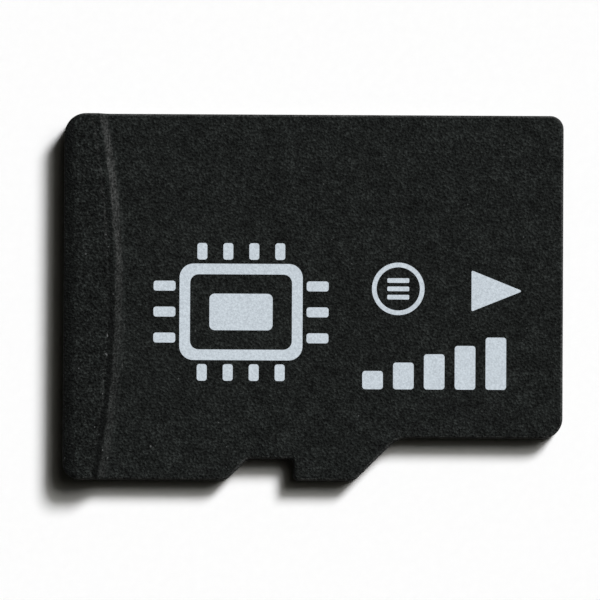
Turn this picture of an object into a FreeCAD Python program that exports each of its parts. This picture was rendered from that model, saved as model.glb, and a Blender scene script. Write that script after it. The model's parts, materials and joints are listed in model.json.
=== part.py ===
import FreeCAD, Part
import os
import Sketcher

# A micro flash memory card: a black epoxy moulding over a laminate board with eight gold contacts, and sealed
# between the two a staircase of flash dies, a controller, capacitors and bond wires.
# X runs from the grip ridge to the insertion end, Y from the notched edge to the straight edge, Z up from the
# underside, with the origin in the middle of the underside.

# Driving sizes, in millimetres
SIZES = {
    # Outline, seen from above
    "card_length": 15.0,
    "card_width": 11.0,
    "front_step": 1.30,
    "shoulder_reach": 4.95,
    "tab_length": 1.83,
    "notch_floor": 1.37,
    "notch_depth": 0.65,
    "front_straight_corner": 0.40,
    "front_notched_corner": 0.60,
    "back_straight_corner": 0.65,
    "back_notched_corner": 0.50,
    "shoulder_corner": 0.80,
    "tab_front_corner": 0.40,
    "tab_back_corner": 0.15,
    "notch_root_corner": 0.12,
    "ramp_top_corner": 0.30,
    "ramp_foot_corner": 0.50,
    # Thickness, grip ridge and edges
    "body_thick": 0.70,
    "ridge_thick": 1.00,
    "ridge_reach": 1.83,
    "ridge_run": 0.28,
    "ridge_radius": 30.0,
    "ridge_round": 0.10,
    "back_slope_run": 0.30,
    "back_slope_drop": 0.12,
    "back_slope_round": 0.60,
    "top_edge_round": 0.10,
    "bevel_run": 0.52,
    "bevel_rise": 0.30,
    # Board and contacts
    "board_thick": 0.20,
    "contact_length": 2.90,
    "contact_setback": 1.10,
    "contact_lead": 0.30,
    "contact_gap": 0.30,
    "contact_margin": 0.60,
    "contact_corner": 0.12,
    "contact_thick": 0.03,
    "contact_recess": 0.02,
    # Flash dies, in a staircase that climbs towards the back
    "die_length": 6.0,
    "die_width": 7.6,
    "die_thick": 0.045,
    "film_thick": 0.015,
    "die_shift": 0.28,
    "stack_setback": 1.0,
    # Controller
    "controller_length": 2.0,
    "controller_width": 3.0,
    "controller_thick": 0.10,
    # Bond wires and the fingers that they land on
    "wire_size": 0.02,
    "loop_height": 0.09,
    "bond_inset": 0.05,
    "stitch_reach": 0.13,
    "memory_column_margin": 0.80,
    "controller_column_margin": 0.40,
    "finger_length": 0.25,
    "finger_width": 0.12,
    "finger_thick": 0.015,
    "finger_gap": 0.25,
    # Chip capacitors on their solder
    "capacitor_length": 0.60,
    "capacitor_width": 0.30,
    "capacitor_height": 0.22,
    "terminal_length": 0.15,
    "terminal_build": 0.015,
    "capacitor_gap": 0.50,
    "solder_thick": 0.02,
    # How far a cutting profile runs past what it cuts
    "cut_margin": 1.0,
}

CONTACTS = 8
LEADING_CONTACTS = (4, 6)
DIES = 4
MEMORY_COLUMNS = 8
CONTROLLER_COLUMNS = 6
FULL_TURN = 360.0
UP = FreeCAD.Vector(0, 0, 1)
ACROSS = FreeCAD.Vector(0, 1, 0)


class Size:
    """A length together with the sheet expression that gives it."""

    def __init__(self, value, text):
        self.value = value
        self.text = text

    def joined(self, sign, other, value):
        return Size(value, f"({self.text} {sign} {other.text})")

    def __add__(self, other):
        return self.joined("+", other, self.value + other.value)

    def __sub__(self, other):
        return self.joined("-", other, self.value - other.value)

    def __neg__(self):
        return Size(-self.value, f"(-1 * {self.text})")

    def __mul__(self, factor):
        return Size(self.value * factor, f"({self.text} * {factor})")

    def __truediv__(self, divisor):
        return Size(self.value / divisor, f"({self.text} / {divisor})")

    def ratio(self, other):
        return Size(self.value / other.value, f"({self.text} / {other.text})")

    def times(self, other):
        return self.joined("*", other, self.value * other.value)


doc = FreeCAD.newDocument("memory_card")
sheet = doc.addObject("Spreadsheet::Sheet", "dims")
for row, (alias, number) in enumerate(SIZES.items(), start=1):
    sheet.set(f"A{row}", alias)
    sheet.set(f"B{row}", str(number))
    sheet.setAlias(f"B{row}", alias)
doc.recompute()


def size(alias):
    return Size(float(sheet.get(alias)), f"dims.{alias}")


# Lines of the outline
front = size("card_length") / 2
back = -front
straight_edge = size("card_width") / 2
notched_edge = -straight_edge
narrow_edge = notched_edge + size("front_step")
narrow_centre = (straight_edge + narrow_edge) / 2
shoulder_root = front - size("shoulder_reach")
tab_front = shoulder_root - size("front_step")
tab_back = tab_front - size("tab_length")
notch_top = notched_edge + size("notch_depth")
ramp_top = tab_back - size("notch_floor")
ramp_foot = ramp_top - size("notch_depth")

# Corners of the outline in order, each with its radius: the shoulder and the notch's ramp slope at 45 degrees
OUTLINE = [
    (front, straight_edge, "front_straight_corner"),
    (back, straight_edge, "back_straight_corner"),
    (back, notched_edge, "back_notched_corner"),
    (ramp_foot, notched_edge, "ramp_foot_corner"),
    (ramp_top, notch_top, "ramp_top_corner"),
    (tab_back, notch_top, "notch_root_corner"),
    (tab_back, notched_edge, "tab_back_corner"),
    (tab_front, notched_edge, "tab_front_corner"),
    (shoulder_root, narrow_edge, "shoulder_corner"),
    (front, narrow_edge, "front_notched_corner"),
]

# Levels
underside = Size(0.0, "0")
board_top = size("board_thick")
body_top = size("body_thick")
ridge_top = size("ridge_thick")


def bind(item, name, length):
    item.setExpression(name, length.text)


def new_body(label):
    body = doc.addObject("PartDesign::Body", label)
    body.Label = label
    return body


def origin_feature(body, role):
    return next(item for item in body.Origin.OriginFeatures if item.Role == role)


def new_sketch(body, name, plane, offset):
    """A sketch on one of the body's origin planes, moved along the plane's normal by offset."""
    sketch = body.newObject("Sketcher::SketchObject", f"{body.Name}_{name}")
    sketch.AttachmentSupport = (origin_feature(body, plane), [""])
    sketch.MapMode = "FlatFace"
    bind(sketch, "AttachmentOffset.Base.z", offset)
    return sketch


def bind_point(sketch, line, end, x, y):
    """Sets a line's end point by its two distances from the sketch's origin."""
    for kind, length in (("DistanceX", x), ("DistanceY", y)):
        index = sketch.addConstraint(Sketcher.Constraint(kind, -1, 1, line, end, length.value))
        bind(sketch, f"Constraints[{index}]", length)


def add_polygon(sketch, points):
    """A closed polygon through (x, y) points, with every corner bound to the sheet."""
    first = sketch.GeometryCount
    vectors = [FreeCAD.Vector(x.value, y.value, 0) for x, y in points]
    ends = vectors[1:] + vectors[:1]
    for start, end in zip(vectors, ends):
        sketch.addGeometry(Part.LineSegment(start, end), False)
    for index, (x, y) in enumerate(points):
        previous = first + (index - 1) % len(points)
        sketch.addConstraint(Sketcher.Constraint("Coincident", previous, 2, first + index, 1))
        bind_point(sketch, first + index, 1, x, y)


def rectangle(x_low, x_high, y_low, y_high):
    return [(x_low, y_low), (x_high, y_low), (x_high, y_high), (x_low, y_high)]


def pad(body, sketch, length):
    feature = body.newObject("PartDesign::Pad", f"{sketch.Name}_pad")
    feature.Profile = sketch
    bind(feature, "Length", length)
    return feature


def fillet(body, base, edges, radius):
    feature = body.newObject("PartDesign::Fillet", f"{body.Name}_fillet")
    feature.Base = (base, edges)
    bind(feature, "Radius", radius)
    doc.recompute()
    return feature


def edges_along(shape, way, place):
    """Names of the edges of a shape that lie on the line through place along way."""
    names = []
    for index, edge in enumerate(shape.Edges, start=1):
        offsets = [(vertex.Point - place).cross(way).Length for vertex in edge.Vertexes]
        if max(offsets) < Part.Precision.confusion():
            names.append(f"Edge{index}")
    return names


def upright_edges(shape, x, y):
    return edges_along(shape, UP, FreeCAD.Vector(x.value, y.value, 0))


def cross_edges(shape, x, z):
    return edges_along(shape, ACROSS, FreeCAD.Vector(x.value, 0, z.value))


def card_prism(body, low, high):
    """The card's outline between two levels, with its upright corners rounded."""
    sketch = new_sketch(body, "outline", "XY_Plane", low)
    add_polygon(sketch, [(x, y) for x, y, _ in OUTLINE])
    tip = pad(body, sketch, high - low)
    doc.recompute()
    for x, y, radius in OUTLINE:
        tip = fillet(body, tip, upright_edges(tip.Shape, x, y), size(radius))
    return tip


def cut_across(body, name, profile):
    """Cuts a profile, drawn in the side view, right across the card."""
    sketch = new_sketch(body, name, "XZ_Plane", underside)
    add_polygon(sketch, profile)
    pocket = body.newObject("PartDesign::Pocket", f"{body.Name}_{name}_pocket")
    pocket.Profile = sketch
    pocket.SideType = "Symmetric"
    pocket.Type = "ThroughAll"
    doc.recompute()
    return pocket


def cut_bevel(body):
    """Takes the lead-in bevel off the underside of the insertion end."""
    outside = front + size("cut_margin")
    return cut_across(body, "bevel", [
        (front - size("bevel_run"), underside),
        (front, size("bevel_rise")),
        (outside, size("bevel_rise")),
        (outside, underside),
    ])


def cut_back_slope(body):
    """Slopes the top of the ridge down to the back edge, with the crease between the two rounded."""
    slope_start = back + size("back_slope_run")
    slope_end = ridge_top - size("back_slope_drop")
    outside = back - size("cut_margin")
    above = ridge_top + size("cut_margin")
    slope = cut_across(body, "back_slope", [
        (back, slope_end),
        (slope_start, ridge_top),
        (slope_start, above),
        (outside, above),
        (outside, slope_end),
    ])
    return fillet(body, slope, cross_edges(slope.Shape, slope_start, ridge_top), size("back_slope_round"))


def cut_main_face(body):
    """Lowers the card in front of the grip ridge, whose sloped step is turned about a far upright axis."""
    sketch = new_sketch(body, "ridge_step", "XZ_Plane", underside)
    foot = back + size("ridge_reach")
    crest = foot - size("ridge_run")
    far = front + size("cut_margin")
    above = ridge_top + size("cut_margin")
    add_polygon(sketch, [(foot, body_top), (far, body_top), (far, above), (crest, above), (crest, ridge_top)])
    axis_x = foot - size("ridge_radius")
    axis_low = FreeCAD.Vector(axis_x.value, body_top.value, 0)
    axis_high = FreeCAD.Vector(axis_x.value, ridge_top.value, 0)
    axis = sketch.addGeometry(Part.LineSegment(axis_low, axis_high), True)
    bind_point(sketch, axis, 1, axis_x, body_top)
    bind_point(sketch, axis, 2, axis_x, ridge_top)
    groove = body.newObject("PartDesign::Groove", f"{body.Name}_ridge_groove")
    groove.Profile = sketch
    groove.ReferenceAxis = (sketch, ["Axis0"])
    groove.Angle = FULL_TURN
    doc.recompute()
    return groove


def step_edges(shape):
    """Names of the long arcs along the crest and the foot of the ridge's step."""
    return [
        f"Edge{index}" for index, edge in enumerate(shape.Edges, start=1)
        if isinstance(edge.Curve, Part.Circle) and edge.Curve.Radius > size("ridge_radius").value / 2
    ]


def steepness(face, point):
    """How far a face looks up at a point: 1 for a level face, 0 for an upright wall."""
    u, v = face.Surface.parameter(point)
    return face.normalAt(u, v).z


def rim_edges(shape):
    """Names of the edges between the side walls and the faces that look up."""
    names = []
    for index, edge in enumerate(shape.Edges, start=1):
        middle = edge.valueAt((edge.FirstParameter + edge.LastParameter) / 2)
        slopes = [steepness(face, middle) for face in shape.ancestorsOfType(edge, Part.Face)]
        beside_wall = min(abs(slope) for slope in slopes) < Part.Precision.confusion()
        if beside_wall and max(slopes) > Part.Precision.confusion():
            names.append(f"Edge{index}")
    return names


def make_mould_blank():
    """The moulding's outer form, before the pieces that it is moulded round are taken out of it."""
    body = new_body("mould_blank")
    card_prism(body, board_top, ridge_top)
    step = cut_main_face(body)
    fillet(body, step, step_edges(step.Shape), size("ridge_round"))
    cut_bevel(body)
    slope = cut_back_slope(body)
    fillet(body, slope, rim_edges(slope.Shape), size("top_edge_round"))
    return body


# Contact row, spread over the narrow front part of the card; the supply contacts lead the others
contact_back = front - size("contact_setback") - size("contact_length")
row_low = narrow_edge + size("contact_margin")
row_high = straight_edge - size("contact_margin")
contact_width = (row_high - row_low - size("contact_gap") * (CONTACTS - 1)) / CONTACTS
contact_pitch = contact_width + size("contact_gap")


def contact_corners(number):
    contact_front = front - size("contact_setback")
    if number in LEADING_CONTACTS:
        contact_front = contact_front + size("contact_lead")
    y_low = row_low + contact_pitch * (number - 1)
    return rectangle(contact_back, contact_front, y_low, y_low + contact_width)


def round_contact(body, base, numbers):
    edges = []
    for number in numbers:
        for x, y in contact_corners(number):
            edges += upright_edges(base.Shape, x, y)
    fillet(body, base, edges, size("contact_corner"))


def make_board():
    """The laminate board under the moulding, with a shallow window for each contact."""
    body = new_body("substrate")
    numbers = range(1, CONTACTS + 1)
    card_prism(body, underside, board_top)
    cut_bevel(body)
    sketch = new_sketch(body, "windows", "XY_Plane", underside)
    for number in numbers:
        add_polygon(sketch, contact_corners(number))
    windows = body.newObject("PartDesign::Pocket", "substrate_window_pocket")
    windows.Profile = sketch
    windows.Reversed = True
    bind(windows, "Length", size("contact_recess") + size("contact_thick"))
    doc.recompute()
    round_contact(body, windows, numbers)
    return body


def make_contact(number):
    body = new_body(f"contact_{number}")
    sketch = new_sketch(body, "outline", "XY_Plane", size("contact_recess"))
    add_polygon(sketch, contact_corners(number))
    plate = pad(body, sketch, size("contact_thick"))
    doc.recompute()
    round_contact(body, plate, [number])
    return body


def make_box(label, corner, length, width, height):
    """A plain slab from its low corner (x, y, z) and its three sizes."""
    slab = doc.addObject("Part::Box", label)
    slab.Label = label
    for name, extent in zip(("Length", "Width", "Height"), (length, width, height)):
        bind(slab, name, extent)
    for axis, place in zip("xyz", corner):
        bind(slab, f"Placement.Base.{axis}", place)
    return slab


# Flash dies: each step of the staircase lies further back, so that a shelf of the die below stays bare
die_pitch = size("film_thick") + size("die_thick")
die_side = (straight_edge + notch_top - size("die_width")) / 2


def die_back(level):
    return back + size("stack_setback") + size("die_shift") * (DIES - level)


def die_front(level):
    return die_back(level) + size("die_length")


def die_top(level):
    return board_top + die_pitch * level


def make_memory(level):
    """One flash die on its film."""
    film_low = die_top(level - 1)
    film_corner = (die_back(level), die_side, film_low)
    die_corner = (die_back(level), die_side, film_low + size("film_thick"))
    footprint = (size("die_length"), size("die_width"))
    film = make_box(f"memory_film_{level}", film_corner, *footprint, size("film_thick"))
    die = make_box(f"memory_die_{level}", die_corner, *footprint, size("die_thick"))
    return [film, die]


# Rows of bond fingers, with the controller between the second and the third
memory_finger = die_front(1) + size("finger_gap")
rear_finger = memory_finger + size("finger_length") + size("finger_gap")
controller_back = rear_finger + size("finger_length") + size("finger_gap")
controller_front = controller_back + size("controller_length")
front_finger = controller_front + size("finger_gap")
controller_low = narrow_centre - size("controller_width") / 2
controller_high = narrow_centre + size("controller_width") / 2
controller_top = board_top + size("film_thick") + size("controller_thick")
finger_top = board_top + size("finger_thick")
finger_middle = size("finger_length") / 2


def make_controller():
    footprint = (size("controller_length"), size("controller_width"))
    film_corner = (controller_back, controller_low, board_top)
    die_corner = (controller_back, controller_low, board_top + size("film_thick"))
    film = make_box("controller_film", film_corner, *footprint, size("film_thick"))
    die = make_box("controller_die", die_corner, *footprint, size("controller_thick"))
    return [film, die]


# Columns of wires and fingers: first place along Y, pitch and count
memory_first = die_side + size("memory_column_margin")
memory_span = size("die_width") - size("memory_column_margin") * 2
memory_pitch = memory_span / (MEMORY_COLUMNS - 1)
controller_first = controller_low + size("controller_column_margin")
controller_span = size("controller_width") - size("controller_column_margin") * 2
controller_pitch = controller_span / (CONTROLLER_COLUMNS - 1)
memory_columns = (memory_first, memory_pitch, MEMORY_COLUMNS)
controller_columns = (controller_first, controller_pitch, CONTROLLER_COLUMNS)


def repeat_along_y(body, feature, pitch, count):
    pattern = body.newObject("PartDesign::LinearPattern", f"{body.Name}_pattern")
    pattern.Originals = [feature]
    pattern.Direction = (origin_feature(body, "Y_Axis"), [""])
    pattern.Mode = "Spacing"
    bind(pattern, "Offset", pitch)
    pattern.Occurrences = count
    body.Tip = pattern
    doc.recompute()


def make_fingers(label, rows, first, pitch, count):
    """Plated bond fingers on the board's upper face, in rows that start at the given X places."""
    body = new_body(label)
    sketch = new_sketch(body, "outline", "XY_Plane", board_top)
    y_low = first - size("finger_width") / 2
    y_high = first + size("finger_width") / 2
    for row in rows:
        add_polygon(sketch, rectangle(row, row + size("finger_length"), y_low, y_high))
    fingers = pad(body, sketch, size("finger_thick"))
    repeat_along_y(body, fingers, pitch, count)
    return body


def wire_profile(ball_x, ball_z, stitch_x, stitch_z, way):
    """Side view of one bond wire: up from the ball, then down a slope, towards way along X, to the stitch."""
    half = size("wire_size") / 2 * way
    splay = size("wire_size") * way
    apex = ball_z + size("loop_height")
    slope = (apex - stitch_z).ratio(stitch_x + splay - ball_x + half)
    crook = stitch_z + slope.times(stitch_x - splay - ball_x - half)
    return [
        (ball_x - half, ball_z),
        (ball_x + half, ball_z),
        (ball_x + half, crook),
        (stitch_x - splay, stitch_z),
        (stitch_x + splay, stitch_z),
        (ball_x - half, apex),
    ]


def make_wires(label, profiles, first, pitch, count):
    body = new_body(label)
    sketch = new_sketch(body, "profile", "XZ_Plane", -first)
    for profile in profiles:
        add_polygon(sketch, profile)
    wires = pad(body, sketch, size("wire_size"))
    wires.SideType = "Symmetric"
    doc.recompute()
    repeat_along_y(body, wires, pitch, count)
    return body


def make_memory_wires():
    """Each column runs down the staircase, from die to die and from the lowest die to its finger."""
    inset = size("bond_inset")
    first_stitch = memory_finger + finger_middle
    profiles = [wire_profile(die_front(1) - inset, die_top(1), first_stitch, finger_top, 1)]
    for level in range(2, DIES + 1):
        stitch = die_front(level) + size("stitch_reach")
        profiles.append(wire_profile(die_front(level) - inset, die_top(level), stitch, die_top(level - 1), 1))
    return make_wires("memory_wires", profiles, *memory_columns)


def make_controller_wires():
    inset = size("bond_inset")
    rear_stitch = rear_finger + finger_middle
    front_stitch = front_finger + finger_middle
    profiles = [
        wire_profile(controller_back + inset, controller_top, rear_stitch, finger_top, -1),
        wire_profile(controller_front - inset, controller_top, front_stitch, finger_top, 1),
    ]
    return make_wires("controller_wires", profiles, *controller_columns)


# Capacitors beside the controller, two on its notched side and one on its straight side
capacitor_back = controller_back + (size("controller_length") - size("capacitor_length")) / 2
capacitor_front = capacitor_back + size("capacitor_length")
capacitor_step = size("capacitor_width") + size("capacitor_gap")
capacitor_sides = [
    controller_low - capacitor_step,
    controller_low - capacitor_step * 2,
    controller_high + size("capacitor_gap"),
]
capacitor_low = board_top + size("solder_thick")


def terminal_outlines(side):
    reach = size("terminal_length")
    far_side = side + size("capacitor_width")
    return [
        rectangle(capacitor_back, capacitor_back + reach, side, far_side),
        rectangle(capacitor_front - reach, capacitor_front, side, far_side),
    ]


def make_capacitor(number, side):
    """A chip capacitor: a ceramic block with a terminal cap built up round each end."""
    body = new_body(f"capacitor_{number}")
    build = size("terminal_build")
    ceramic = new_sketch(body, "ceramic", "XY_Plane", capacitor_low + build)
    y_low = side + build
    y_high = side + size("capacitor_width") - build
    add_polygon(ceramic, rectangle(capacitor_back + build, capacitor_front - build, y_low, y_high))
    pad(body, ceramic, size("capacitor_height") - build * 2)
    terminals = new_sketch(body, "terminals", "XY_Plane", capacitor_low)
    for outline in terminal_outlines(side):
        add_polygon(terminals, outline)
    pad(body, terminals, size("capacitor_height"))
    doc.recompute()
    return body


def make_solder():
    """A flat solder joint under each terminal."""
    body = new_body("solder_joints")
    sketch = new_sketch(body, "outline", "XY_Plane", board_top)
    for side in capacitor_sides:
        for outline in terminal_outlines(side):
            add_polygon(sketch, outline)
    pad(body, sketch, size("solder_thick"))
    doc.recompute()
    return body


def make_mould(blank, pieces):
    """The moulding: the outer form less everything that the epoxy flowed round."""
    filled = doc.addObject("Part::MultiFuse", "moulded_in")
    filled.Shapes = pieces
    mould = doc.addObject("Part::Cut", "mould_body")
    mould.Label = "mould_body"
    mould.Base = blank
    mould.Tool = filled
    doc.recompute()
    return mould


inner = []
for level in range(1, DIES + 1):
    inner += make_memory(level)
inner += make_controller()
inner.append(make_fingers("memory_fingers", [memory_finger], *memory_columns))
inner.append(make_fingers("controller_fingers", [rear_finger, front_finger], *controller_columns))
inner.append(make_memory_wires())
inner.append(make_controller_wires())
for number, side in enumerate(capacitor_sides, start=1):
    inner.append(make_capacitor(number, side))
inner.append(make_solder())
doc.recompute()

contacts = [make_contact(number) for number in range(1, CONTACTS + 1)]
board = make_board()
mould = make_mould(make_mould_blank(), inner)
sub_parts = [mould, board] + contacts + inner

for item in doc.Objects:
    if "Invalid" in item.State or "Error" in item.State:
        raise RuntimeError(f"{item.Name} failed: {item.getStatusString()}")
for item in sub_parts:
    if item.Shape.isNull() or not item.Shape.isValid():
        raise RuntimeError(f"{item.Label} has no valid shape")

os.makedirs("parts", exist_ok=True)
for item in sub_parts:
    item.Shape.exportStep(f"parts/{item.Label}.step")
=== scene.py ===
import json
import math

import bmesh
import bpy
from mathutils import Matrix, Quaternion, Vector


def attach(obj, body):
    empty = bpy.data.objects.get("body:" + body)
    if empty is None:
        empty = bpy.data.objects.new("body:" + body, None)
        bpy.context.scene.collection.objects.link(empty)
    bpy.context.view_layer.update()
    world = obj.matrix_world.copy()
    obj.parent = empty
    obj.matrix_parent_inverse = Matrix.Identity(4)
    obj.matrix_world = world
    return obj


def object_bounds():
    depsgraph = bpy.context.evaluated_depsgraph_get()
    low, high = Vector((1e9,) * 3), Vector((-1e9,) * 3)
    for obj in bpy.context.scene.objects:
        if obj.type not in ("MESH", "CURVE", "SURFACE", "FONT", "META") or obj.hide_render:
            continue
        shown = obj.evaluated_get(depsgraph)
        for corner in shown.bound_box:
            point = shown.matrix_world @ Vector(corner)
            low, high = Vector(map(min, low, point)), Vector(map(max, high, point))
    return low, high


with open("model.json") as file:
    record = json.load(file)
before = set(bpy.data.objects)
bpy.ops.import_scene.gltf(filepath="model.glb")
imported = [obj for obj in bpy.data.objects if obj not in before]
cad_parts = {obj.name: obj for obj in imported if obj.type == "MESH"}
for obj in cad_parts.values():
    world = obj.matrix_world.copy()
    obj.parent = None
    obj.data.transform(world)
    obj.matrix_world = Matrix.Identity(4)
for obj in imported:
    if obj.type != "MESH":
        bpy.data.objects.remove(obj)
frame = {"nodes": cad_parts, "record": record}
cad_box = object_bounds()
nodes = frame["nodes"]

MM = 0.001
card_low, card_high = cad_box

# Level of the main face, in front of the grip ridge
FACE_LEVEL = 0.70 * MM
# The grip ridge's step: where its foot crosses the card's middle line, the arc that it follows, its width
RIDGE_FOOT = card_low[0] + 1.83 * MM
RIDGE_RADIUS = 30.0 * MM
RIDGE_RUN = 0.28 * MM
# The film of ink, and how finely round outlines are drawn in it
INK_THICK = 0.008 * MM
ARC_STEPS = 10
CIRCLE_POINTS = 60

WHITE = (1, 1, 1, 1)


# Materials


class Graph:
    """The nodes of a new material or world, with a short way to add them and join them."""

    def __init__(self, owner, output_kind):
        owner.use_nodes = True
        self.owner = owner
        self.tree = owner.node_tree
        self.tree.nodes.clear()
        self.output = self.add(output_kind)

    def add(self, kind, **settings):
        node = self.tree.nodes.new(kind)
        for name, value in settings.items():
            setattr(node, name, value)
        return node

    def join(self, source, target):
        self.tree.links.new(source, target)

    def fill(self, socket, value):
        """Joins an output to the socket, or sets it to a constant."""
        if isinstance(value, bpy.types.NodeSocket):
            self.join(value, socket)
        else:
            socket.default_value = value

    def parts(self, vector):
        """The X, Y and Z of a vector, as outputs."""
        node = self.add("ShaderNodeSeparateXYZ")
        self.join(vector, node.inputs["Vector"])
        return node.outputs

    def place(self):
        """Coordinates on the object, in metres."""
        return self.add("ShaderNodeTexCoord").outputs["Object"]

    def normal(self):
        """The way that the surface faces, as outputs X, Y and Z."""
        return self.parts(self.add("ShaderNodeNewGeometry").outputs["Normal"])

    def share(self, value, low, high):
        """How far value is on its way from low to high, held between 0 and 1."""
        node = self.add("ShaderNodeMapRange")
        self.join(value, node.inputs["Value"])
        node.inputs["From Min"].default_value = low
        node.inputs["From Max"].default_value = high
        return node.outputs["Result"]

    def noise(self, size, detail=2.0, roughness=0.5, stretch=(1, 1, 1)):
        """Noise whose blotches are about size metres across."""
        mapping = self.add("ShaderNodeMapping")
        mapping.inputs["Scale"].default_value = stretch
        self.join(self.place(), mapping.inputs["Vector"])
        texture = self.add("ShaderNodeTexNoise")
        texture.inputs["Scale"].default_value = 1 / size
        texture.inputs["Detail"].default_value = detail
        texture.inputs["Roughness"].default_value = roughness
        self.join(mapping.outputs["Vector"], texture.inputs["Vector"])
        return texture.outputs["Fac"]

    def colours(self, source, stops):
        """Runs through colours, given as (place, colour) from low to high."""
        node = self.add("ShaderNodeValToRGB")
        elements = node.color_ramp.elements
        while len(elements) < len(stops):
            elements.new(0.5)
        for element, (place, colour) in zip(elements, stops):
            element.position, element.color = place, colour
        self.join(source, node.inputs["Fac"])
        return node.outputs["Color"]

    def levels(self, source, stops):
        """Runs through grey levels, given as (place, level) from low to high."""
        return self.colours(source, [(place, (level, level, level, 1)) for place, level in stops])

    def ramp(self, source, low, high, start, end):
        """Runs from colour start at low to colour end at high."""
        return self.colours(source, [(low, start), (high, end)])

    def blend(self, factor, under, over):
        """Over shows where factor is 1; each is a colour or an output."""
        node = self.add("ShaderNodeMix", data_type="RGBA")
        self.join(factor, node.inputs["Factor"])
        self.fill(node.inputs["A"], under)
        self.fill(node.inputs["B"], over)
        return node.outputs["Result"]

    def math(self, operation, first, second):
        node = self.add("ShaderNodeMath", operation=operation)
        self.fill(node.inputs[0], first)
        self.fill(node.inputs[1], second)
        return node.outputs["Value"]

    def product(self, first, *others):
        for other in others:
            first = self.math("MULTIPLY", first, other)
        return first

    def bump(self, height, distance, normal=None):
        node = self.add("ShaderNodeBump")
        node.inputs["Distance"].default_value = distance
        node.inputs["Strength"].default_value = 1.0
        self.join(height, node.inputs["Height"])
        if normal is not None:
            self.join(normal, node.inputs["Normal"])
        return node.outputs["Normal"]

    def shader(self, kind, **sockets):
        """A shader node's output; an underscore in a socket's name stands for a space."""
        node = self.add(kind)
        for name, value in sockets.items():
            self.fill(node.inputs[name.replace("_", " ")], value)
        return node.outputs[0]

    def either(self, factor, first, second):
        """The first shader where factor is 0, the second where it is 1."""
        node = self.add("ShaderNodeMixShader")
        for socket, source in zip(node.inputs, (factor, first, second)):
            self.join(source, socket)
        return node.outputs["Shader"]

    def finish(self, shader):
        self.join(shader, self.output.inputs["Surface"])
        return self.owner

    def surface(self, **sockets):
        return self.finish(self.shader("ShaderNodeBsdfPrincipled", **sockets))


def material_graph(name):
    return Graph(bpy.data.materials.new(name), "ShaderNodeOutputMaterial")


def along_width(graph):
    """0 at the card's notched edge, 1 at its straight edge."""
    return graph.share(graph.parts(graph.place())["Y"], card_low[1], card_high[1])


def ridge_place(graph):
    """Place across the ridge's step: crest at a third, foot at two thirds, 0 and 1 a step's width beyond."""
    flat = graph.add("ShaderNodeVectorMath", operation="MULTIPLY")
    graph.join(graph.place(), flat.inputs[0])
    flat.inputs[1].default_value = (1, 1, 0)
    reach = graph.add("ShaderNodeVectorMath", operation="DISTANCE")
    graph.join(flat.outputs["Vector"], reach.inputs[0])
    reach.inputs[1].default_value = (RIDGE_FOOT - RIDGE_RADIUS, 0, 0)
    waver = graph.math("SUBTRACT", graph.noise(0.16 * MM, detail=3.0), 0.5)
    ragged = graph.math("MULTIPLY", waver, 0.16 * MM)
    across = graph.math("ADD", reach.outputs["Value"], ragged)
    return graph.share(across, RIDGE_RADIUS - 2 * RIDGE_RUN, RIDGE_RADIUS + RIDGE_RUN)


def rounded_edges(graph):
    """1 on the rounded rim and the ridge's step, 0 on level faces, upright walls and what faces the back; the
    back-facing rim lies in shade, so the rim's painted highlight is kept off it.
    """
    normal = graph.normal()
    rounded = graph.levels(normal["Z"], [(0.10, 0.0), (0.40, 1.0), (0.85, 1.0), (0.985, 0.0)])
    # Rims that face the back lie in shade, so the painted highlight is left off them
    return graph.math("MULTIPLY", rounded, graph.math("GREATER_THAN", normal["X"], -0.15))


def back_slope_painted_shade(graph):
    """Painted shade, at a half, on what slopes to the back, away from the lamps; 0 on level faces and on the
    upright back wall.
    """
    facing_back = graph.math("MULTIPLY", graph.normal()["X"], -1)
    return graph.levels(facing_back, [(0.08, 0.0), (0.32, 0.5), (0.75, 0.5), (0.95, 0.0)])


def crest_painted_shade(graph, place, along):
    """Painted shade along the crest: a dark line that ends at the crest from behind, and fades out towards
    the straight edge.
    """
    line = graph.levels(place, [(0.115, 0.0), (0.155, 1.0), (0.300, 1.0), (0.345, 0.0)])
    fade = graph.levels(
        along,
        [(0.13, 1.0), (0.40, 0.95), (0.52, 0.65), (0.60, 0.40), (0.80, 0.32), (0.88, 0.0)],
    )
    return graph.math("MULTIPLY", line, fade)


def wear_and_painted_highlights(graph, place, along):
    """Where the mould is rubbed pale, partly painted highlight: the ridge's slope, a thin line behind the
    dark one, and the rim.
    """
    streak = graph.noise(0.085 * MM, detail=3.0, stretch=(1, 0.25, 1))
    patch = graph.noise(1.1 * MM, detail=2.0)
    # The slope's pale band is rubbing and painted highlight: brighter towards the straight edge, where the
    # step faces the lamps
    slope = graph.product(
        graph.levels(place, [(0.32, 0.0), (0.37, 1.0), (0.57, 0.9), (0.62, 0.0)]),
        graph.levels(streak, [(0.36, 0.30), (0.64, 1.0)]),
        graph.levels(along, [(0.0, 0.36), (0.45, 0.42), (0.57, 0.62), (0.68, 0.95), (0.91, 1.0)]),
    )
    behind = graph.product(
        graph.levels(place, [(0.005, 0.0), (0.05, 0.45), (0.09, 0.45), (0.13, 0.0)]),
        graph.levels(streak, [(0.40, 0.2), (0.62, 1.0)]),
        graph.levels(along, [(0.13, 0.35), (0.24, 0.6), (0.35, 0.25), (0.46, 0.2), (0.60, 0.3), (0.68, 1.0)]),
    )
    # The rim's pale band is rubbing and painted highlight on the rims that face the lamps
    rim = graph.product(
        rounded_edges(graph),
        graph.levels(patch, [(0.30, 0.50), (0.62, 0.95)]),
        graph.levels(place, [(0.22, 1.0), (0.30, 0.0), (0.68, 0.0), (0.74, 1.0)]),
    )
    return graph.math("MAXIMUM", graph.math("MAXIMUM", slope, behind), rim)


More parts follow.
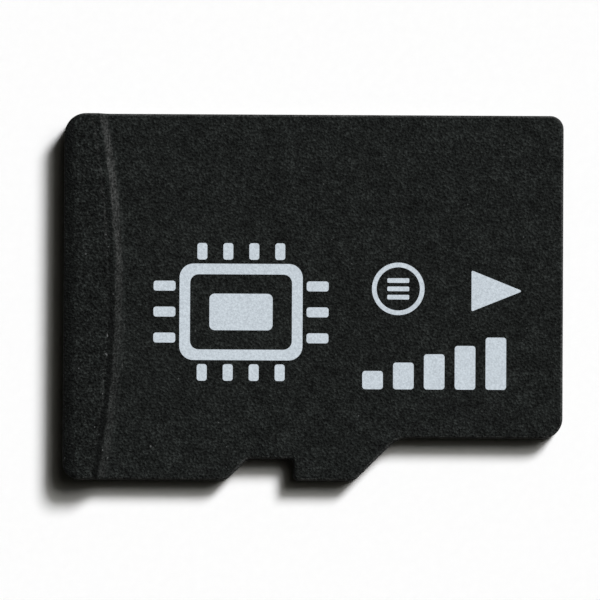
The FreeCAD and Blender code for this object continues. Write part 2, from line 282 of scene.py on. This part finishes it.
def pale_specks(graph, place):
    """A few pale specks, more of them behind the crest."""
    crowd = graph.levels(place, [(0.02, 0.0), (0.10, 0.08), (0.18, 0.08), (0.24, 0.0)])
    speck = graph.math("ADD", graph.noise(0.12 * MM, detail=0.0), crowd)
    return graph.levels(speck, [(0.865, 0.0), (0.90, 1.0)])


def mottled(graph, grain, share):
    """The grain with slow blotches added to it, at the given share."""
    blotch = graph.math("SUBTRACT", graph.noise(0.5 * MM, detail=2.0, roughness=1.0), 0.5)
    return graph.math("ADD", grain, graph.math("MULTIPLY", blotch, share))


def mould_black(level):
    """The mould's black, a little green, as a colour of the given level."""
    return (0.875 * level, level, 0.948 * level, 1)


def mould_material():
    """Black epoxy with the grain of an eroded mould, rubbed paler on its edges and along the ridge's step,
    with painted highlight there, and painted shade on the back slope and along the crest.
    """
    graph = material_graph("mould_epoxy")
    place, along = ridge_place(graph), along_width(graph)
    # The face's level is no whole number of grains, because noise looks too fine on its own lattice planes
    grain = graph.noise(0.068 * MM, detail=1.0)
    fine = graph.noise(0.035 * MM, detail=1.0)
    tone = mottled(graph, grain, 0.55)

    def toned(stops):
        return graph.colours(tone, [(at, mould_black(level)) for at, level in stops])

    face = toned([(0.26, 0.0028), (0.49, 0.0107), (0.62, 0.0164), (0.75, 0.0310)])
    raised = toned([(0.26, 0.0005), (0.49, 0.0088), (0.62, 0.0157), (0.75, 0.0360)])
    # A darker tone for the painted shade along the crest
    shaded = toned([(0.30, 0.0012), (0.50, 0.0044), (0.72, 0.0100)])
    # A pale tone for rubbing and painted highlight
    rubbed = graph.ramp(tone, 0.30, 0.72, (0.0115, 0.012, 0.0115, 1), (0.070, 0.072, 0.070, 1))
    on_ridge = graph.levels(place, [(0.20, 1.0), (0.30, 0.0)])
    colour = graph.blend(on_ridge, face, raised)
    # Painted shade on the slope that faces the back, away from the lamps
    colour = graph.blend(back_slope_painted_shade(graph), colour, mould_black(0.0025))
    # Painted shade: a dark line along the crest
    colour = graph.blend(crest_painted_shade(graph, place, along), colour, shaded)
    # Pale rubbing and painted highlight on the ridge's step and the rims
    colour = graph.blend(wear_and_painted_highlights(graph, place, along), colour, rubbed)
    colour = graph.blend(pale_specks(graph, place), colour, (0.10, 0.104, 0.104, 1))
    rough = graph.levels(fine, [(0.3, 0.72), (0.7, 0.92)])
    normal = graph.bump(grain, 0.05 * MM)
    normal = graph.bump(fine, 0.02 * MM, normal)
    return graph.surface(Base_Color=colour, Roughness=rough, Normal=normal, Specular_IOR_Level=0.07)


def laminate_material():
    """Dark solder mask over glass laminate, with the weave just showing through, and a paler cut edge."""
    graph = material_graph("laminate_board")
    weave = graph.noise(0.35 * MM, detail=2.0, stretch=(1, 4, 1))
    grain = graph.noise(0.06 * MM, detail=2.0)
    mask = graph.ramp(weave, 0.3, 0.7, (0.007, 0.010, 0.008, 1), (0.014, 0.019, 0.016, 1))
    cut_edge = graph.ramp(grain, 0.3, 0.7, (0.020, 0.019, 0.014, 1), (0.045, 0.042, 0.030, 1))
    upright = graph.normal()["Z"]
    level_face = graph.levels(graph.math("MULTIPLY", upright, upright), [(0.01, 0.0), (0.09, 1.0)])
    colour = graph.blend(level_face, cut_edge, mask)
    rough = graph.levels(grain, [(0.3, 0.34), (0.7, 0.5)])
    normal = graph.bump(weave, 0.003 * MM)
    return graph.surface(Base_Color=colour, Roughness=rough, Normal=normal, Specular_IOR_Level=0.22)


def gold_material(name, rough_low, rough_high):
    """Gold plate with rubbed streaks along the way that the card slides."""
    graph = material_graph(name)
    streak = graph.noise(0.05 * MM, detail=3.0, stretch=(0.06, 1, 1))
    stain = graph.noise(0.6 * MM, detail=3.0)
    clean = graph.ramp(streak, 0.35, 0.7, (0.78, 0.51, 0.18, 1), (0.84, 0.58, 0.23, 1))
    stained = graph.levels(stain, [(0.5, 0.0), (0.75, 0.5)])
    colour = graph.blend(stained, clean, (0.66, 0.40, 0.13, 1))
    rough = graph.levels(streak, [(0.3, rough_low), (0.7, rough_high)])
    normal = graph.bump(streak, 0.0008 * MM)
    return graph.surface(Base_Color=colour, Metallic=1.0, Roughness=rough, Normal=normal)


def plain_grain_material(name, dark, pale, size, rough, metallic=0.0):
    """A sealed-in piece: two close tones, mottled at the given size."""
    graph = material_graph(name)
    mottle = graph.noise(size, detail=3.0)
    colour = graph.ramp(mottle, 0.3, 0.7, dark, pale)
    normal = graph.bump(mottle, size / 20)
    return graph.surface(Base_Color=colour, Metallic=metallic, Roughness=rough, Normal=normal)


def silicon_material():
    dark, pale = (0.05, 0.055, 0.07, 1), (0.09, 0.10, 0.125, 1)
    return plain_grain_material("silicon_die", dark, pale, size=0.8 * MM, rough=0.2)


def film_material():
    dark, pale = (0.16, 0.12, 0.06, 1), (0.24, 0.18, 0.10, 1)
    return plain_grain_material("die_film", dark, pale, size=0.3 * MM, rough=0.6)


def ceramic_material():
    dark, pale = (0.22, 0.15, 0.09, 1), (0.32, 0.23, 0.15, 1)
    return plain_grain_material("ceramic_chip", dark, pale, size=0.1 * MM, rough=0.5)


def solder_material():
    dark, pale = (0.5, 0.5, 0.52, 1), (0.62, 0.62, 0.64, 1)
    return plain_grain_material("solder_tin", dark, pale, size=0.05 * MM, rough=0.35, metallic=1.0)


def ink_material():
    """Cool white pad-printed ink, with a fine grain of its own."""
    graph = material_graph("print_ink")
    grain = graph.noise(0.052 * MM, detail=1.0)
    tone = mottled(graph, grain, 0.15)
    colour = graph.ramp(tone, 0.25, 0.75, (0.460, 0.513, 0.560, 1), (0.638, 0.709, 0.768, 1))
    normal = graph.bump(grain, 0.004 * MM)
    return graph.surface(Base_Color=colour, Roughness=0.6, Normal=normal, Specular_IOR_Level=0.25)


SLOT_MATERIALS = {
    "mould": mould_material(),
    "laminate": laminate_material(),
    "gold_plate": gold_material("contact_gold", rough_low=0.22, rough_high=0.42),
    "silicon": silicon_material(),
    "die_film": film_material(),
    "ceramic_chip": ceramic_material(),
    "solder": solder_material(),
    "bond_gold": gold_material("bond_gold", rough_low=0.15, rough_high=0.3),
}

for entry in frame["record"]["subparts"]:
    mesh = nodes[entry["node"]].data
    mesh.materials.clear()
    mesh.materials.append(SLOT_MATERIALS[entry["material_slot"]])


# Print, in millimetres on the main face


def arc(centre, radius, start, end, steps=ARC_STEPS):
    """Points on a circle between two angles in degrees, both ends included."""
    turns = [math.radians(start + (end - start) * step / steps) for step in range(steps + 1)]
    return [(centre[0] + radius * math.cos(turn), centre[1] + radius * math.sin(turn)) for turn in turns]


def circle(centre, radius):
    """Points all round a circle, the first one not repeated."""
    return arc(centre, radius, 0, 360 - 360 / CIRCLE_POINTS, CIRCLE_POINTS - 1)


def rounded_box(centre, width, height, radius):
    """Outline of a box with rounded corners, anticlockwise."""
    reach_x, reach_y = width / 2 - radius, height / 2 - radius
    corners = ((1, 1, 0), (-1, 1, 90), (-1, -1, 180), (1, -1, 270))
    points = []
    for side_x, side_y, start in corners:
        middle = (centre[0] + side_x * reach_x, centre[1] + side_y * reach_y)
        points += arc(middle, radius, start, start + 90)
    return points


def rounded_triangle(base_x, tip_x, middle_y, half_height, radius):
    """Outline of a triangle that points along +X, with its corners just broken."""
    corners = [(tip_x, middle_y), (base_x, middle_y + half_height), (base_x, middle_y - half_height)]
    points = []
    for index, corner in enumerate(corners):
        here = Vector(corner)
        before = (Vector(corners[index - 1]) - here).normalized()
        after = (Vector(corners[(index + 1) % 3]) - here).normalized()
        inward = (before + after).normalized()
        half_angle = before.angle(after) / 2
        middle = here + inward * (radius / math.sin(half_angle))
        spread = 180 - math.degrees(2 * half_angle)
        outward = math.degrees(math.atan2(-inward.y, -inward.x))
        points += arc(middle, radius, outward - spread / 2, outward + spread / 2)
    return points


def evenly(count, pitch):
    """Places in a row, a pitch apart, about 0."""
    return [(index - (count - 1) / 2) * pitch for index in range(count)]


class InkPlate:
    """Collects flat printed shapes into one thin film of ink."""

    def __init__(self):
        self.mesh = bmesh.new()

    def edge(self, points):
        """The outline's vertices on the face and on top of the ink."""
        levels = (FACE_LEVEL, FACE_LEVEL + INK_THICK)
        return [[self.mesh.verts.new((x * MM, y * MM, level)) for x, y in points] for level in levels]

    def walls(self, low, high):
        count = len(low)
        for index in range(count):
            after = (index + 1) % count
            self.mesh.faces.new((low[index], low[after], high[after], high[index]))

    def solid(self, outline):
        low, high = self.edge(outline)
        self.walls(low, high)
        self.mesh.faces.new(high)
        self.mesh.faces.new(reversed(low))

    def band(self, outer, inner):
        """A closed band between two outlines that have the same number of points."""
        outer_low, outer_high = self.edge(outer)
        inner_low, inner_high = self.edge(inner)
        self.walls(outer_low, outer_high)
        self.walls(inner_high, inner_low)
        self.walls(outer_high, inner_high)
        self.walls(inner_low, outer_low)

    def finish(self, name, material):
        mesh = bpy.data.meshes.new(name)
        bmesh.ops.recalc_face_normals(self.mesh, faces=self.mesh.faces)
        self.mesh.to_mesh(mesh)
        self.mesh.free()
        mesh.materials.append(material)
        piece = bpy.data.objects.new(name, mesh)
        bpy.context.scene.collection.objects.link(piece)
        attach(piece, "root")


INK = ink_material()


def print_arrow():
    """An arrowhead that points to the insertion end."""
    base_x, tip_x = 4.75, 6.29
    middle_y, half_height = 0.22, 0.62
    corner = 0.035
    plate = InkPlate()
    plate.solid(rounded_triangle(base_x, tip_x, middle_y, half_height, corner))
    plate.finish("print_arrow", INK)


def print_ring():
    """A plain ring round a stack of three layers."""
    centre = (2.55, 0.27)
    outer_radius, inner_radius = 0.79, 0.65
    layer_width, layer_height, layer_corner = 0.66, 0.14, 0.04
    layer_pitch = 0.25
    plate = InkPlate()
    plate.band(circle(centre, outer_radius), circle(centre, inner_radius))
    for up in evenly(3, layer_pitch):
        plate.solid(rounded_box((centre[0], centre[1] + up), layer_width, layer_height, layer_corner))
    plate.finish("print_ring", INK)


def print_chip():
    """A plain pictogram of a chip: a frame with a solid middle and a row of legs on each side."""
    centre = (-2.17, -0.45)
    width, height, corner = 3.7, 2.9, 0.42
    stroke = 0.32
    core_width, core_height, core_corner = 1.9, 1.1, 0.16
    leg_width, leg_pitch, leg_gap, leg_corner = 0.30, 0.78, 0.12, 0.08
    end_leg, side_leg = 0.66, 0.50
    plate = InkPlate()
    outer = rounded_box(centre, width, height, corner)
    inner = rounded_box(centre, width - 2 * stroke, height - 2 * stroke, corner - stroke / 2)
    plate.band(outer, inner)
    plate.solid(rounded_box(centre, core_width, core_height, core_corner))
    for along in evenly(4, leg_pitch):
        for side in (-1, 1):
            out = side * (height / 2 + leg_gap + side_leg / 2)
            plate.solid(rounded_box((centre[0] + along, centre[1] + out), leg_width, side_leg, leg_corner))
    for along in evenly(3, leg_pitch):
        for side in (-1, 1):
            out = side * (width / 2 + leg_gap + end_leg / 2)
            plate.solid(rounded_box((centre[0] + out, centre[1] + along), end_leg, leg_width, leg_corner))
    plate.finish("print_chip", INK)


def print_bars():
    """A plain gauge of rising bars."""
    count, left, base = 5, 1.48, -2.75
    width, pitch, corner = 0.62, 0.925, 0.09
    first_height, rise = 0.55, 0.255
    plate = InkPlate()
    for index in range(count):
        height = first_height + index * rise
        x = left + width / 2 + index * pitch
        plate.solid(rounded_box((x, base + height / 2), width, height, corner))
    plate.finish("print_bars", INK)


print_arrow()
print_ring()
print_chip()
print_bars()


# Stage


def background_rays(graph):
    """1 for a ray that should find the white background: the eye's, a reflection's or one through glass."""
    path = graph.add("ShaderNodeLightPath").outputs
    seen = path["Is Camera Ray"]
    for name in ("Is Glossy Ray", "Is Transmission Ray"):
        seen = graph.math("MAXIMUM", seen, path[name])
    return graph.math("MULTIPLY", seen, graph.math("LESS_THAN", path["Diffuse Depth"], 0.5))


def floor_material():
    """White paper that throws little light back up, and is clear when it is looked at from below."""
    graph = material_graph("floor_paper")
    tooth = graph.noise(0.25 * MM, detail=3.0)
    white = graph.ramp(tooth, 0.2, 0.8, (0.975, 0.975, 0.975, 1), (0.998, 0.998, 0.998, 1))
    colour = graph.blend(background_rays(graph), (0.25, 0.25, 0.25, 1), white)
    paper = graph.shader("ShaderNodeBsdfDiffuse", Color=colour)
    clear = graph.shader("ShaderNodeBsdfTransparent")
    crossings = graph.add("ShaderNodeLightPath").outputs["Transparent Depth"]
    came_through = graph.math("GREATER_THAN", crossings, 0.5)
    from_below = graph.add("ShaderNodeNewGeometry").outputs["Backfacing"]
    see_through = graph.math("MAXIMUM", from_below, came_through)
    return graph.finish(graph.either(see_through, paper, clear))


def make_floor():
    """A wide level sheet, a hair below the card so that the two don't share a plane."""
    reach, drop = 2.0, 0.002 * MM
    corners = [(x * reach, y * reach, -drop) for x, y in ((-1, -1), (1, -1), (1, 1), (-1, 1))]
    mesh = bpy.data.meshes.new("floor")
    mesh.from_pydata(corners, [], [(0, 1, 2, 3)])
    mesh.materials.append(floor_material())
    floor = bpy.data.objects.new("floor", mesh)
    bpy.context.scene.collection.objects.link(floor)


def make_world():
    """White to the eye; in reflections white round the sides and dim overhead; as a light, dim all over."""
    graph = Graph(bpy.data.worlds.new("studio"), "ShaderNodeOutputWorld")
    upward = graph.parts(graph.add("ShaderNodeTexCoord").outputs["Generated"])["Z"]
    dome = graph.levels(upward, [(0.25, 1.0), (0.65, 0.05)])
    to_eye = graph.add("ShaderNodeLightPath").outputs["Is Camera Ray"]
    seen = graph.shader("ShaderNodeBackground", Color=graph.blend(to_eye, dome, WHITE))
    dim = graph.shader("ShaderNodeBackground", Color=(1.0, 0.96, 0.78, 1), Strength=0.005)
    bpy.context.scene.world = graph.finish(graph.either(background_rays(graph), dim, seen))


def make_lamp(name, fall, angle, level, tint=(1, 1, 1)):
    """A far lamp that lights a level face to the given share of white; fall is the way its light goes."""
    way = Vector(fall).normalized()
    lamp = bpy.data.lights.new(name, "SUN")
    lamp.color = tint
    lamp.angle = math.radians(angle)
    lamp.energy = math.pi * level / abs(way.z)
    holder = bpy.data.objects.new(name, lamp)
    holder.rotation_euler = way.to_track_quat("-Z", "Y").to_euler()
    bpy.context.scene.collection.objects.link(holder)


def make_lamps():
    """A key lamp from the upper right, two wider, warmer ones that soften its shadow, one under the floor."""
    make_lamp("key", fall=(-0.78, -0.92, -1), angle=16, level=0.718, tint=(0.975, 0.978, 1))
    make_lamp("halo", fall=(-0.68, -0.62, -1), angle=28, level=0.24, tint=(1, 0.995, 0.96))
    make_lamp("softener", fall=(-0.60, -0.52, -1), angle=50, level=0.054, tint=(1, 0.98, 0.85))
    make_lamp("underside", fall=(-0.35, 0.5, 1), angle=40, level=0.8)


def make_camera():
    """Looks almost straight down; the picture is span wide at the target, a point of the main face."""
    tilt, roll = math.radians(2.5), math.radians(0.30)
    span, distance, sensor = 18.02 * MM, 0.30, 36.0
    target = Vector((-0.40 * MM, -0.08 * MM, FACE_LEVEL))
    back = Vector((0, -math.sin(tilt), math.cos(tilt)))
    data = bpy.data.cameras.new("camera")
    data.sensor_width = sensor
    data.lens = sensor * distance / span
    data.clip_start, data.clip_end = 0.01, 10.0
    camera = bpy.data.objects.new("camera", data)
    camera.location = target + back * distance
    aim = (-back).to_track_quat("-Z", "Y") @ Quaternion((0, 0, 1), roll)
    camera.rotation_euler = aim.to_euler()
    bpy.context.scene.collection.objects.link(camera)
    bpy.context.scene.camera = camera


make_floor()
make_world()
make_lamps()
make_camera()
bpy.context.scene.view_settings.view_transform = "Standard"
